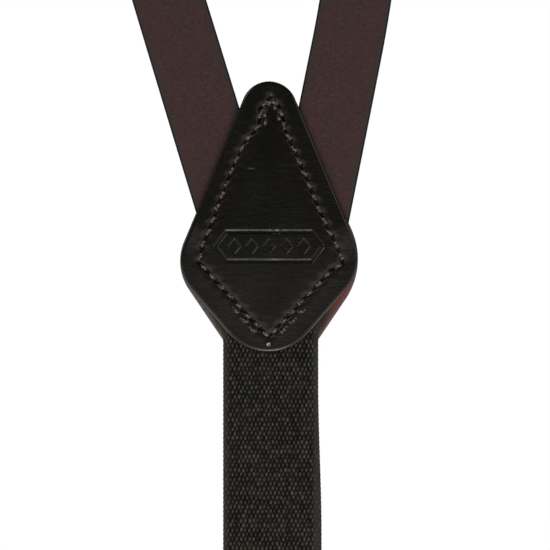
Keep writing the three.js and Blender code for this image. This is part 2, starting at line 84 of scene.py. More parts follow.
GAP = 0.3  # between the CAD's pieces
STRAP_WIDTH = limb_high[0] - limb_low[0]
STRAP_THICKNESS = limb_high[1] - limb_low[1]
BACK_Y = (elastic_low[1] + elastic_high[1]) / 2
YOKE_Z = elastic_high[2] + 6  # the yoke's centre
CHEST_Y = (limb_low[1] + limb_high[1]) / 2
CHEST_SPLIT_Z = limb_high[2] + GAP
CLIP_BAR_Z = fold_high[2]
FOLD_RADIUS = (fold_high[1] - fold_low[1] - STRAP_THICKNESS) / 2
FRONT_X = {side: node_box("strap_front_" + side)[0][0] + STRAP_WIDTH / 2 for side in SIDES}

# ---------------------------------------------------------------------------------------- camera
VIEW_WIDTH = 199.65  # of the yoke's plane
VIEW_CENTRE = (1.63, -21.05)  # from the yoke's centre, across and up
CAMERA_DISTANCE = 2000
SENSOR = 36


def add_camera():
    data = bpy.data.cameras.new("camera")
    data.sensor_width = SENSOR
    data.lens = SENSOR * CAMERA_DISTANCE / VIEW_WIDTH
    data.clip_end = 100
    camera = bpy.data.objects.new("camera", data)
    x, z = VIEW_CENTRE
    y = BACK_Y - STRAP_THICKNESS / 2 - CAMERA_DISTANCE
    camera.location = (x * MM, y * MM, (YOKE_Z + z) * MM)
    camera.rotation_euler = (math.radians(90), 0, 0)
    bpy.context.scene.collection.objects.link(camera)
    bpy.context.scene.camera = camera


add_camera()

# ------------------------------------------------------------------------------------ small maths


def smoothstep(low, high, value):
    t = np.clip((value - low) / (high - low), 0, 1)
    return t * t * (3 - 2 * t)


def bell(value, width):
    return np.exp(-((value / width) ** 2))


def nearest_on(points, line):
    """Each point's distance to a closed polyline, and how far along the line that place is."""
    best = np.full(len(points), 1e9)
    station = np.zeros(len(points))
    walked = 0.0
    for a, b in zip(line, np.roll(line, -1, axis=0)):
        along = b - a
        length = np.linalg.norm(along)
        share = np.clip(((points - a) @ along) / length**2, 0, 1)
        gap = points - a - share[:, None] * along
        away = np.hypot(gap[:, 0], gap[:, 1])
        station = np.where(away < best, walked + share * length, station)
        best = np.minimum(best, away)
        walked += length
    return best, station


def distance_to(points, line):
    return nearest_on(points, line)[0]


def rounded_outline(corners, step=4.0):
    """A closed outline from corners (x, z, radius), with an arc of `step` degrees a segment at each."""
    points = []
    for i, (x, z, radius) in enumerate(corners):
        corner = np.array([x, z], float)
        before = np.array(corners[i - 1][:2], float) - corner
        after = np.array(corners[(i + 1) % len(corners)][:2], float) - corner
        before /= np.linalg.norm(before)
        after /= np.linalg.norm(after)
        half = math.acos(before @ after) / 2
        middle = (before + after) / np.linalg.norm(before + after)
        centre = corner + middle * radius / math.sin(half)
        first = corner + before * radius / math.tan(half) - centre
        last = corner + after * radius / math.tan(half) - centre
        start = math.atan2(first[1], first[0])
        turn = (math.atan2(last[1], last[0]) - start + math.pi) % (2 * math.pi) - math.pi
        count = max(2, math.ceil(abs(math.degrees(turn)) / step))
        for angle in np.linspace(start, start + turn, count + 1):
            points.append(centre + radius * np.array([math.cos(angle), math.sin(angle)]))
    return np.array(points)


def resample(line, count):
    """`count` points evenly spaced round a closed polyline."""
    path = np.vstack([line, line[:1]])
    lengths = np.concatenate([[0], np.cumsum(np.linalg.norm(np.diff(path, axis=0), axis=1))])
    wanted = np.linspace(0, lengths[-1], count, endpoint=False)
    return np.stack([np.interp(wanted, lengths, path[:, k]) for k in range(path.shape[1])], axis=1)


# ------------------------------------------------------------------------------------ mesh helpers


def add_mesh(name, points, faces, attributes=None, sharp=50):
    """A mesh object from points in millimetres, with float or vector values at its points."""
    mesh = bpy.data.meshes.new(name)
    mesh.from_pydata((np.asarray(points) * MM).tolist(), [], [tuple(map(int, f)) for f in faces])
    for key, values in (attributes or {}).items():
        values = np.asarray(values, np.float32)
        vector = values.ndim == 2
        layer = mesh.attributes.new(key, "FLOAT_VECTOR" if vector else "FLOAT", "POINT")
        layer.data.foreach_set("vector" if vector else "value", values.ravel())
    mesh.validate()
    mesh.shade_smooth()
    mesh.set_sharp_from_angle(angle=math.radians(sharp))
    piece = bpy.data.objects.new(name, mesh)
    bpy.context.scene.collection.objects.link(piece)
    return piece


def ring_faces(rings, size, flip=False, closed=True):
    """Quads between `rings` rings of `size` points each."""
    faces = []
    for ring in range(rings - 1):
        for i in range(size if closed else size - 1):
            a, b = ring * size + i, ring * size + (i + 1) % size
            quad = (a, b, b + size, a + size)
            faces.append(quad[::-1] if flip else quad)
    return faces


def finish_piece(piece, material, body, slot, *nodes):
    piece.data.materials.append(material)
    if body:
        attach(piece, body)
    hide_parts(*nodes)
    return piece


# ---------------------------------------------------------------------------------- the strap's way
BACK_RISE = 130  # straight run above the yoke's centre
SHOULDER_ARCS = ((260, 35), (62, 100), (230, 45))  # radius, and how far it turns in degrees
# Each strap's distance from the middle at the yoke's centre, then stations along its way and its
# slant at each of them.
STRAP_WAYS = {
    "left": (12.9, (0, 189, 578), (0.304, 0.304, 0)),
    "right": (15.5, (0, 60, 79, 279, 578), (0.2, 0.2, 0.158, 0.33, 0)),
}
LINE_LENGTH = BACK_RISE + sum(radius * math.radians(turn) for radius, turn in SHOULDER_ARCS)
LINE_END_Z = YOKE_Z + BACK_RISE + sum(
    radius * (math.sin(math.radians(after)) - math.sin(math.radians(before)))
    for (radius, _), before, after in zip(SHOULDER_ARCS, (0, 35, 135), (35, 135, 180))
)


def on_line(length, out):
    """Depth and height on the line over the body, `length` up from the yoke's centre."""
    length = np.asarray(length, float)
    y = np.full_like(length, BACK_Y)
    z = YOKE_Z + np.minimum(length, BACK_RISE)
    turned = np.zeros_like(length)
    rest = np.maximum(length - BACK_RISE, 0)
    for radius, turn in SHOULDER_ARCS:
        after = turned + np.clip(rest / radius, 0, math.radians(turn))
        y = y + radius * (np.cos(turned) - np.cos(after))
        z = z + radius * (np.sin(after) - np.sin(turned))
        rest = rest - radius * (after - turned)
        turned = after
    return y - out * np.cos(turned), z - rest + out * np.sin(turned)


def strap_centre(side, length):
    """A strap's distance from the middle, and its slant, at `length` along the line."""
    start, stations, slants = STRAP_WAYS[side]
    x = np.full_like(np.asarray(length, float), start) + slants[0] * np.minimum(length, 0)
    for low, high, before, after in zip(stations, stations[1:], slants, slants[1:]):
        reach = np.clip(length, low, high) - low
        x = x + reach * (before + (after - before) * reach / (2 * (high - low)))
    return x, np.interp(length, stations, slants)


def strap_across(side, x, z):
    """How far a point of the yoke's plane is from the middle of a strap."""
    centre, slant = strap_centre(side, z)
    return (SIDES[side] * x - centre) * np.cos(np.arctan(slant))


# -------------------------------------------------------------------------------------- node helper


class Shader:
    """A node tree being built, with short calls for the nodes that the materials share."""

    def __init__(self, name):
        self.material = bpy.data.materials.new(name)
        self.material.use_nodes = True
        self.tree = self.material.node_tree
        self.bsdf = self.tree.nodes["Principled BSDF"]
        self.bumps = []

    def set(self, **values):
        for key, value in values.items():
            self.put(self.bsdf.inputs[key.replace("_", " ")], value)

    def put(self, socket, value):
        if isinstance(value, bpy.types.NodeSocket):
            self.tree.links.new(value, socket)
        else:
            socket.default_value = value

    def node(self, kind, settings=None, **inputs):
        made = self.tree.nodes.new("ShaderNode" + kind)
        for key, value in (settings or {}).items():
            setattr(made, key, value)
        for key, value in inputs.items():
            self.put(made.inputs[int(key[1:]) if key[0] == "i" and key[1:].isdigit() else key], value)
        return made

    def value(self, name, vector=False):
        made = self.node("Attribute", {"attribute_name": name})
        return made.outputs["Vector" if vector else "Fac"]

    def place_in_millimetres(self):
        place = self.node("TexCoord").outputs["Object"]
        return self.stretched(place, (1 / MM, 1 / MM, 1 / MM))

    def split(self, vector):
        return self.node("SeparateXYZ", i0=vector).outputs

    def stretched(self, vector, scale):
        return self.node("VectorMath", {"operation": "MULTIPLY"}, i0=vector, i1=scale).outputs[0]

    def maths(self, operation, a, b=0.0):
        return self.node("Math", {"operation": operation}, i0=a, i1=b).outputs[0]

    def noise(self, vector, scale, detail=3.0, roughness=0.55):
        made = self.node("TexNoise", Vector=vector, Scale=scale, Detail=detail, Roughness=roughness)
        return made.outputs["Fac"]

    def cells(self, vector, scale):
        return self.node("TexVoronoi", Vector=vector, Scale=scale).outputs["Distance"]

    def between(self, value, low, high, to_low=0.0, to_high=1.0):
        made = self.node(
            "MapRange", {"interpolation_type": "SMOOTHSTEP"},
            i0=value, i1=low, i2=high, i3=to_low, i4=to_high,
        )
        return made.outputs[0]

    def mix(self, factor, a, b):
        return self.node("Mix", {"data_type": "RGBA"}, i0=factor, i6=a, i7=b).outputs[2]

    def bump(self, height, distance, strength=1.0):
        made = self.node("Bump", Height=height, Distance=distance * MM, Strength=strength)
        if self.bumps:
            self.tree.links.new(self.bumps[-1], made.inputs["Normal"])
        self.bumps.append(made.outputs["Normal"])
        self.tree.links.new(made.outputs["Normal"], self.bsdf.inputs["Normal"])


def srgb(red, green, blue):
    """A display colour out of 255 as linear light."""
    def linear(value):
        value /= 255
        return value / 12.92 if value <= 0.04045 else ((value + 0.055) / 1.055) ** 2.4
    return (linear(red), linear(green), linear(blue), 1.0)


# ---------------------------------------------------------------------------------------- materials
EDGE = STRAP_WIDTH / 2  # from a strip's middle to its edge, on the scale of its `strip` value


def strap_leather():
    """Burgundy-brown grained leather, with duller margins and black painted edges."""
    shader = Shader("strap_leather")
    strip = shader.value("strip", vector=True)
    across = shader.maths("ABSOLUTE", shader.split(strip)[0])
    clouds = shader.noise(shader.stretched(strip, (0.09, 0.05, 0)), 1.0, 4.0, 0.6)
    red, dun = srgb(64, 40, 40), srgb(56, 42, 39)
    colour = shader.mix(shader.between(clouds, 0.35, 0.65), red, dun)
    fleck = shader.noise(shader.stretched(strip, (0.35, 1.6, 0)), 1.0, 4.0, 0.7)
    colour = shader.mix(shader.between(fleck, 0.57, 0.7, 0.0, 0.55), colour, srgb(94, 74, 70))
    dark = shader.noise(shader.stretched(strip, (0.8, 0.8, 0)), 1.0, 3.0, 0.6)
    colour = shader.mix(shader.between(dark, 0.46, 0.66, 0.0, 0.55), colour, srgb(46, 32, 31))
    wander = shader.noise(shader.stretched(strip, (0.0, 0.08, 0)), 1.0, 3.0)
    margin = shader.maths("ADD", across, shader.maths("MULTIPLY", wander, 2.2))
    colour = shader.mix(shader.between(margin, EDGE - 2.0, EDGE + 0.5, 0.0, 0.75), colour, srgb(50, 45, 43))
    colour = shader.mix(shader.between(across, EDGE - 0.75, EDGE - 0.45), colour, srgb(20, 19, 18))
    grain = shader.cells(shader.stretched(strip, (1.0, 1.0, 1.0)), 1.7)
    pores = shader.noise(strip, 3.2, 3.0, 0.7)
    wrinkles = shader.noise(shader.stretched(strip, (0.35, 1.1, 0.5)), 1.0, 5.0, 0.6)
    shader.set(Base_Color=colour, Roughness=shader.between(pores, 0.3, 0.7, 0.42, 0.58))
    shader.set(Specular_IOR_Level=0.2)
    shader.bump(grain, 0.1, 0.5)
    shader.bump(pores, 0.06, 0.6)
    shader.bump(wrinkles, 0.25, 0.5)
    return shader.material


def patch_leather():
    """Glossy near-black leather, browner along its seam, with painted shading that darkens its upper part
    and lightens its lower part, a painted highlight along the rim of its lower flanks, painted shade in its
    stitch holes, and fine creases.
    """
    shader = Shader("patch_leather")
    place = shader.value("strip", vector=True)
    edge = shader.value("edge")
    parts = shader.split(place)
    clouds = shader.noise(shader.stretched(place, (0.06, 0.06, 0.06)), 1.0, 4.0, 0.6)
    # painted shading: the upper part of the patch is coloured darker and the lower part lighter, as the
    # light falls on it
    low = shader.between(parts[1], -30.0, 2.0, 1.0, 0.0)
    colour = shader.mix(low, srgb(12, 12, 7), srgb(26, 24, 22))
    colour = shader.mix(shader.between(clouds, 0.45, 0.7, 0.0, 0.4), colour, srgb(22, 15, 11))
    halo = shader.between(shader.value("seam"), 0.5, 3.6, 0.6, 0.0)
    colour = shader.mix(halo, colour, srgb(29, 17, 14))
    # painted highlight: a pale line along the rim of the lower flanks, weaker above them and at the bottom
    # tip
    lower = shader.between(parts[1], -34.0, -22.0, 1.0, 0.1)
    lower_rim_highlight = shader.maths("MULTIPLY", shader.between(edge, 0.05, 0.4, 0.8, 0.0), lower)
    lower_rim_highlight = shader.maths("MULTIPLY", lower_rim_highlight, shader.between(parts[1], -46.0, -40.0, 0.1, 1.0))
    colour = shader.mix(lower_rim_highlight, colour, srgb(112, 94, 72))
    # painted shade: the awl slits of the seam are coloured near black
    colour = shader.mix(shader.between(shader.value("slit"), 0.2, 0.8), colour, srgb(3, 3, 3))
    grain = shader.cells(place, 1.5)
    pores = shader.noise(place, 2.6, 4.0, 0.7)
    creases = shader.noise(shader.stretched(place, (0.12, 0.5, 0.3)), 1.0, 6.0, 0.65)
    shader.set(Base_Color=colour, Roughness=shader.between(pores, 0.3, 0.7, 0.18, 0.3))
    shader.set(Specular_IOR_Level=0.5)
    shader.bump(grain, 0.03, 0.3)
    shader.bump(pores, 0.025, 0.5)
    shader.bump(creases, 0.3, 0.35)
    return shader.material


def lining_leather():
    """Matt leather: grey and frayed at its edge, red on its right flank, brown on its inner side."""
    shader = Shader("lining_leather")
    place = shader.value("strip", vector=True)
    parts = shader.split(place)
    fibres = shader.noise(place, 1.2, 6.0, 0.75)
    side = shader.between(parts[0], -26.0, 26.0)
    raw = shader.mix(side, srgb(46, 41, 36), srgb(66, 50, 44))
    flank = shader.between(parts[1], -36.0, -29.0)
    flank = shader.maths("MULTIPLY", flank, shader.between(parts[1], -22.0, -27.0))
    red = shader.maths("MULTIPLY", flank, shader.between(parts[0], 0.0, 10.0, 0.15, 1.0))
    raw = shader.mix(red, raw, srgb(118, 50, 41))
    frayed = shader.mix(side, srgb(98, 94, 88), srgb(104, 80, 76))
    raw = shader.mix(shader.between(shader.value("edge"), 0.2, 2.6, 0.8, 0.0), raw, frayed)
    raw = shader.mix(shader.between(fibres, 0.4, 0.7, 0.0, 0.6), raw, srgb(48, 38, 33))
    back = shader.mix(shader.between(fibres, 0.35, 0.7), srgb(60, 38, 30), srgb(78, 51, 40))
    colour = shader.mix(shader.between(parts[2], -2.2, -1.4), back, raw)
    shader.set(Base_Color=colour, Roughness=shader.between(fibres, 0.3, 0.7, 0.65, 0.85))
    shader.set(Specular_IOR_Level=0.3)
    shader.bump(fibres, 0.25, 0.6)
    shader.bump(shader.noise(place, 4.0, 3.0), 0.08, 0.7)
    return shader.material


def elastic_weave():
    """Charcoal yarn, with painted highlight on the crowns of the weave and painted shade in its gaps."""
    shader = Shader("elastic_weave")
    place = shader.value("strip", vector=True)
    height = shader.value("pile")
    tone = shader.value("tone")
    # painted highlight and shade: colour runs from near black in the weave's pits to pale on its crowns,
    # scaled by each float's random tone
    light = shader.maths("MULTIPLY", height, tone)
    colour = shader.mix(shader.between(light, 0.1, 1.35), srgb(3, 3, 1), srgb(86, 82, 74))
    warm = shader.noise(shader.stretched(place, (0.12, 0.12, 0)), 1.0, 3.0)
    colour = shader.mix(shader.between(warm, 0.45, 0.7, 0.0, 0.2), colour, srgb(52, 42, 38))
    yarn = shader.noise(shader.stretched(place, (7.0, 1.8, 2.0)), 1.0, 3.0)
    colour = shader.mix(shader.between(yarn, 0.35, 0.7, 0.4, 0.0), colour, srgb(12, 12, 9))
    edge = shader.between(shader.maths("ABSOLUTE", shader.split(place)[0]), 14.6, 16.6, 0.0, 0.6)
    colour = shader.mix(edge, colour, srgb(54, 52, 49))
    shader.set(Base_Color=colour, Roughness=0.85, Specular_IOR_Level=0.1)
    shader.set(Sheen_Weight=0.05, Sheen_Roughness=0.5)
    shader.bump(yarn, 0.12, 0.7)
    return shader.material


def thread_material():
    """Waxed brown thread, with pale flecks painted on as highlights."""
    shader = Shader("thread")
    place = shader.value("strip", vector=True)
    lumps = shader.noise(shader.stretched(place, (1.1, 1.1, 1.1)), 1.0, 4.0, 0.7)
    # painted highlight: pale flecks on the dark brown thread
    colour = shader.mix(shader.between(lumps, 0.4, 0.72), srgb(42, 32, 29), srgb(138, 126, 116))
    shader.set(Base_Color=colour, Roughness=shader.between(lumps, 0.3, 0.7, 0.55, 0.75))
    shader.set(Specular_IOR_Level=0.35)
    shader.bump(shader.noise(place, 6.0, 2.0), 0.06, 0.6)
    return shader.material


def thread_end_glint():
    """A thread end sealed with heat into a small glassy bead, whose pale colour is a painted glint."""
    shader = Shader("thread_end_glint")
    place = shader.value("strip", vector=True)
    lumps = shader.noise(place, 1.5, 3.0, 0.6)
    # painted glint: the bead is coloured pale grey over the thread's dark colour
    colour = shader.mix(shader.between(lumps, 0.35, 0.65), srgb(62, 57, 52), srgb(176, 174, 168))
    shader.set(Base_Color=colour, Roughness=shader.between(lumps, 0.3, 0.7, 0.2, 0.35))
    shader.bump(lumps, 0.1, 0.6)
    return shader.material


def brass_material():
    """Satin brass with brushed lines, tarnish in patches and corners brightened by wear."""
    shader = Shader("brass")
    place = shader.place_in_millimetres()
    patina = shader.noise(shader.stretched(place, (0.16, 0.16, 0.16)), 1.0, 6.0, 0.65)
    brushed = shader.noise(shader.stretched(place, (0.15, 4.0, 4.0)), 1.0, 3.0, 0.6)
    colour = shader.mix(shader.between(patina, 0.35, 0.7), srgb(196, 152, 88), srgb(166, 124, 70))
    sharp = shader.node("NewGeometry").outputs["Pointiness"]
    colour = shader.mix(shader.between(sharp, 0.52, 0.6, 0.0, 0.7), colour, srgb(228, 196, 138))
    tarnish = shader.between(patina, 0.3, 0.7, 0.27, 0.36)
    roughness = shader.maths("ADD", tarnish, shader.maths("MULTIPLY", brushed, 0.08))
    shader.set(Base_Color=colour, Metallic=1.0, Roughness=roughness)
    shader.bump(brushed, 0.03, 0.5)
    return shader.material


def nylon_material():
    """Matt black moulded nylon."""
    shader = Shader("nylon")
    speckle = shader.noise(shader.place_in_millimetres(), 2.2, 4.0, 0.6)
    colour = shader.mix(shader.between(speckle, 0.35, 0.7), srgb(20, 20, 22), srgb(34, 34, 36))
    shader.set(Base_Color=colour, Roughness=shader.between(speckle, 0.3, 0.7, 0.45, 0.6))
    shader.bump(speckle, 0.05, 0.6)
    return shader.material


STRAP_LEATHER = strap_leather()
PATCH_LEATHER = patch_leather()
LINING_LEATHER = lining_leather()
ELASTIC_WEAVE = elastic_weave()
THREAD = thread_material()
THREAD_END_GLINT = thread_end_glint()
BRASS = brass_material()
NYLON = nylon_material()

# ------------------------------------------------------------------------------------ leather strips
EDGE_RADIUS = 0.75
BURNISH = 0.12  # how much thinner a strip is at its edges
BURNISH_WIDTH = 2.5
PRESSED = 0.03  # how much wider the yoke's pressure has made the straps' upper ends


def strip_section(width, thickness, columns=16, radius=EDGE_RADIUS):
    """The outline (aside, out) of a leather strip, its corners rounded, from the inner left corner."""
    half, high = width / 2, thickness / 2
    inner = np.linspace(-half + radius, half - radius, columns + 1)
    arc = np.radians([18, 36, 54, 72])
    corner = radius * np.stack([np.sin(arc), 1 - np.cos(arc)], axis=1)
    low = [(a, -high) for a in inner]
    right = [(half - radius + a, -high + b) for a, b in corner]
    right += [(half, -high + radius), (half, high - radius)]
    right += [(half - radius + a, high - b) for a, b in corner[::-1]]
    section = low + right
    section += [(-a, -b) for a, b in section]
    section = np.array(section)
    section[:, 1] *= 1 - BURNISH * smoothstep(half - BURNISH_WIDTH, half, np.abs(section[:, 0]))
    return section


def add_strip(name, places, section, along, flip, wide=1.0):
    """A closed strip from ring places, whose `strip` value is (aside, along, out) in millimetres."""
    rings, size = len(places), len(section)
    faces = ring_faces(rings, size, flip)
    first = tuple(range(size))
    last = tuple(range((rings - 1) * size, rings * size))
    faces += [first if flip else first[::-1], last[::-1] if flip else last]
    strip = np.zeros((rings, size, 3))
    strip[..., 0] = section[None, :, 0] * wide
    strip[..., 1] = np.asarray(along)[:, None]
    strip[..., 2] = section[None, :, 1]
    return add_mesh(name, places.reshape(-1, 3), faces, {"strip": strip.reshape(-1, 3)})


def upper_strap(side):
    """A shoulder strap from the yoke to the chest, flat on the body all the way."""
    lengths = np.linspace(0, LINE_LENGTH + LINE_END_Z - CHEST_SPLIT_Z, 340)
    section = strip_section(STRAP_WIDTH, STRAP_THICKNESS)
    centre, slant = strap_centre(side, lengths)
    heading = np.arctan(slant)[:, None]
    pressed = 1 + PRESSED * smoothstep(150, 20, lengths)
    aside = section[None, :, 0] * pressed[:, None]
    sign = SIDES[side]
    y, z = on_line(lengths[:, None] - aside * np.sin(heading), section[None, :, 1])
    x = sign * (centre[:, None] + aside * np.cos(heading))
    places = np.stack([x, y, z], axis=-1)
    return add_strip("strap_" + side + "_leather", places, section, lengths, sign < 0)


def ribbon(name, x, path, width, thickness, columns=16, top=None):
    """A strip in the plane x = const along a path of (y, z) points; its outer side is to the left."""
    path = np.asarray(path, float)
    tangent = np.gradient(path, axis=0)
    tangent /= np.linalg.norm(tangent, axis=1)[:, None]
    normal = np.stack([-tangent[:, 1], tangent[:, 0]], axis=1)
    section = strip_section(width, thickness, columns)
    rings = len(path)
    places = np.zeros((rings, len(section), 3))
    places[..., 0] = x + section[None, :, 0]
    places[..., 1:] = path[:, None] + normal[:, None] * section[None, :, 1, None]
    along = np.concatenate([[0], np.cumsum(np.linalg.norm(np.diff(path, axis=0), axis=1))])
    if top is not None:
        places = top(places, section)
    return add_strip(name, places, section, along, True, wide=STRAP_WIDTH / width)


def arc_points(y, z, radius, start, end, count):
    angles = np.radians(np.linspace(start, end, count))
    return [(y + radius * math.cos(a), z + radius * math.sin(a)) for a in angles]


def line_points(a, b, count):
    return [tuple(p) for p in np.linspace(a, b, count)]


def add_straps():
    for side in SIDES:
        upper = upper_strap(side)
        finish_piece(upper, STRAP_LEATHER, "root", "strap_leather", "strap_" + side)
        x = FRONT_X[side]
        end_low, end_high = node_box("strap_end_" + side)
        limb = line_points((CHEST_Y, CHEST_SPLIT_Z), (CHEST_Y, CLIP_BAR_Z), 60)
        front = ribbon(f"strap_front_{side}_leather", x, limb[::-1], STRAP_WIDTH, STRAP_THICKNESS)
        finish_piece(front, STRAP_LEATHER, "root", "strap_leather", "strap_front_" + side)
        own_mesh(front)
        bar_y = CHEST_Y - FOLD_RADIUS
        turn = arc_points(bar_y, CLIP_BAR_Z, FOLD_RADIUS, 180, 360, 28)
        fold = ribbon(f"strap_fold_{side}_leather", x, turn, STRAP_WIDTH, STRAP_THICKNESS)
        finish_piece(fold, STRAP_LEATHER, "fold_" + side, "strap_leather", "strap_fold_" + side)
        back_y = CHEST_Y - 2 * FOLD_RADIUS
        rise = line_points((back_y, CLIP_BAR_Z), (back_y, end_low[2]), 40)
        back = ribbon(f"strap_return_{side}_leather", x, rise[::-1], STRAP_WIDTH, STRAP_THICKNESS)
        finish_piece(back, STRAP_LEATHER, None, "strap_leather", "strap_return_" + side)
        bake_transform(back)
        add_strap_end(side, x, back_y, end_low, end_high)


def add_strap_end(side, x, back_y, low, high):
    """The strap's end, turned over the adjuster's rear bar and back down on itself."""
    radius = (high[1] - low[1] - STRAP_THICKNESS) / 2
    bar_z = high[2] - radius - STRAP_THICKNESS / 2
    path = line_points((back_y, low[2]), (back_y, bar_z), 12)
    path += arc_points(back_y - radius, bar_z, radius, 0, 180, 20)[1:]
    behind = back_y - STRAP_THICKNESS
    path += line_points((back_y - 2 * radius, bar_z - 1), (behind, bar_z - 5.5), 5)
    path += line_points((behind, bar_z - 6.5), (behind, low[2] + 0.6), 6)
    piece = ribbon(f"strap_end_{side}_leather", x, path[::-1], STRAP_WIDTH, STRAP_THICKNESS * 0.96)
    finish_piece(piece, STRAP_LEATHER, "adjuster_" + side, "strap_leather", "strap_end_" + side)


# ---------------------------------------------------------------------------------------------- yoke
ELASTIC_HALF = (elastic_high[0] - elastic_low[0]) / 2
SKIRT = 3.5  # how far the layers bridge beside a strap before they meet
LAYERS_APART = 1.02  # half the room that a strap or the elastic takes between them
PATCH_OUT = 2.2  # how far out the patch's face is, beside the straps
PATCH_RISE = 0.95  # and how much further over them
PATCH_SPREAD = 11  # how far beside them that rise fades out
LINING_THICKNESS = 1.7
# Outlines as corners: across, up and radius.
PATCH = rounded_outline([
    (-0.6, 65.7, 10.1),
    (-35.0, -19.0, 15.5),
    (-1.0, -58.8, 18.6),
    (34.4, -18.2, 17.0),
])
LINING = rounded_outline([
    (-0.4, 64.6, 10.8),
    (-35.3, -18.0, 18.5),
    (0.0, -70.2, 19.0),
    (35.3, -18.0, 26.0),
])
PATCH_CENTRE = np.array([2.65, -10.7])  # between two lozenges of the tooling

# The seam was steered by hand, so it wanders a little about a kite (across, up).
SEAM = np.array([
    (-0.3, 43.0), (-3.5, 39.4), (-4.3, 33.0), (-7.3, 29.5), (-10.2, 25.6), (-12.4, 20.7), (-20.6, 0.0),
    (-24.6, -10.0), (-25.8, -16.5), (-17.7, -25.5), (-10.6, -33.2), (-0.7, -43.6), (7.6, -34.8),
    (13.5, -28.6), (21.0, -20.4), (26.2, -16.6), (25.6, -14.0), (18.0, 2.2), (6.8, 28.5), (4.9, 32.3),
    (4.4, 37.0), (2.9, 40.5),
])
SEAM_BOTTOM = SEAM[11]
SEAM_LENGTH = np.linalg.norm(np.roll(SEAM, -1, axis=0) - SEAM, axis=1).sum()
STITCH_COUNT = round(SEAM_LENGTH / 4.65)  # the pitch as sewn, before it is made to come out even
STITCH_PITCH = SEAM_LENGTH / STITCH_COUNT
SLIT = 1.0  # half the length of an awl's slit
SLIT_TURN = math.radians(14)  # off the seam, away from the horizontal
THREAD_LEAN = math.radians(16)  # off the seam, towards the horizontal
THREAD_END = (-0.7, -46.2)  # its melted bead


def covered(x, z, reach):
    """1 over the straps and the elastic, falling to 0 at `reach` beside them."""
    bare = np.ones_like(x)
    for side in SIDES:
        beside = np.abs(strap_across(side, x, z)) - STRAP_WIDTH / 2
        bare = bare * (1 - (1 - smoothstep(0.3, reach, beside)) * smoothstep(-5 - reach, -2, z))
    beside = np.abs(x) - ELASTIC_HALF
    return 1 - bare * (1 - (1 - smoothstep(0.3, reach, beside)) * smoothstep(reach - 4, -6, z))


def layer_gap(x, z):
    """Half the distance between patch and lining: open over the straps, closed beside them."""
    return GAP / 2 + LAYERS_APART * covered(x, z, SKIRT)


def on_seam(station):
    """A place on the seam, and the seam's heading there."""
    ends = np.vstack([SEAM, SEAM[:1]])
    lengths = np.concatenate([[0], np.cumsum(np.linalg.norm(np.diff(ends, axis=0), axis=1))])
    i = min(int(np.searchsorted(lengths, station % SEAM_LENGTH, side="right")) - 1, len(SEAM) - 1)
    along = (ends[i + 1] - ends[i]) / (lengths[i + 1] - lengths[i])
    return ends[i] + along * (station % SEAM_LENGTH - lengths[i]), along


def turned(vector, angle):
    c, s = math.cos(angle), math.sin(angle)
    return np.array([c * vector[0] - s * vector[1], s * vector[0] + c * vector[1]])


def flatter(along, angle):
    """A heading turned by `angle` towards the horizontal."""
    return turned(along, -math.copysign(angle, along[0] * along[1]))


def seam_stitches():
    """The slits (centre, heading) and the threads (start, end) of the whole seam."""
    slits, threads = [], []
    for i in range(STITCH_COUNT):
        place, along = on_seam(i * STITCH_PITCH)
        place = place + 0.15 * rng.standard_normal(2)
        slits.append((place, flatter(along, -SLIT_TURN)))
        middle, along = on_seam((i + 0.5) * STITCH_PITCH)
        heading = flatter(along, THREAD_LEAN + 0.12 * rng.standard_normal())
        reach = 0.5 * STITCH_PITCH - 0.95 * SLIT
        middle = middle + 0.12 * rng.standard_normal(2)
        threads.append((middle - heading * reach, middle + heading * reach))
    # A second row closes the seam at both ends: station, length, and how far inside the seam.
    closing = [(station, 2.2, 1.55) for station in np.arange(-9, 10, 2.7)]
    bottom = nearest_on(SEAM_BOTTOM[None], SEAM)[1][0]
    closing += [(bottom + step, 4.2, -2.3) for step in (-15, -10.2, -5.6, 5.4, 10, 14.8)]
    for station, length, inward in closing:
        place, along = on_seam(station)
        aside = np.array([-along[1], along[0]]) * (inward + 0.35 * rng.standard_normal())
        heading = flatter(along, 0.3 * rng.standard_normal())
        reach = 0.3 * length
        threads.append((place + aside - heading * reach, place + aside + heading * reach))
    return slits, threads


SLITS, THREADS = seam_stitches()


def slit_depth(points):
    """0 to 1: how far inside the nearest stitch hole each point is."""
    depth = np.zeros(len(points))
    for place, heading in SLITS:
        local = points - place
        along = np.clip(local @ heading, -SLIT, SLIT)
        away = np.linalg.norm(local - along[:, None] * heading, axis=1)
        depth = np.maximum(depth, 1 - smoothstep(0.2, 0.72, away))
    for start, end in THREADS:
        for place in (start, end):
            away = np.linalg.norm(points - place, axis=1)
            depth = np.maximum(depth, 0.7 * (1 - smoothstep(0.1, 0.6, away)))
    return depth


BAND = (-0.5, -10.7)  # the middle of the tooled band
BAND_HALF = (19.5, 5.3)
BAND_SHOULDER = 15.5  # half the length of its straight sides
LOZENGE_PITCH = 6.3
LOZENGE_HALF = (2.5, 3.1)
CREASES = ((-7.0, 17.1, 1.1, 0.3), (5.2, 18.2, 2.6, 0.06))  # across, up, reach, depth


def ornament_depth(points):
    """A blind-tooled band, 0 to 1 deep: a grooved long hexagon round a row of sunk lozenges."""
    depth = np.zeros(len(points))
    near = (np.abs(points - BAND) < (23, 9)).all(axis=1)
    local = points[near] - BAND
    half, high = BAND_HALF
    upper = [(-half, 0), (-BAND_SHOULDER, high), (BAND_SHOULDER, high)]
    hexagon = np.array(upper + [(-x, -z) for x, z in upper])
    sunk = 1 - smoothstep(0.45, 0.75, distance_to(local, hexagon))
    for i in range(-2, 3):
        across = np.abs(local[:, 0] - LOZENGE_PITCH * i) / LOZENGE_HALF[0]
        inside = 1 - across - np.abs(local[:, 1]) / LOZENGE_HALF[1]
        sunk = np.maximum(sunk, smoothstep(0.0, 0.16, inside))
    depth[near] = sunk
    return depth


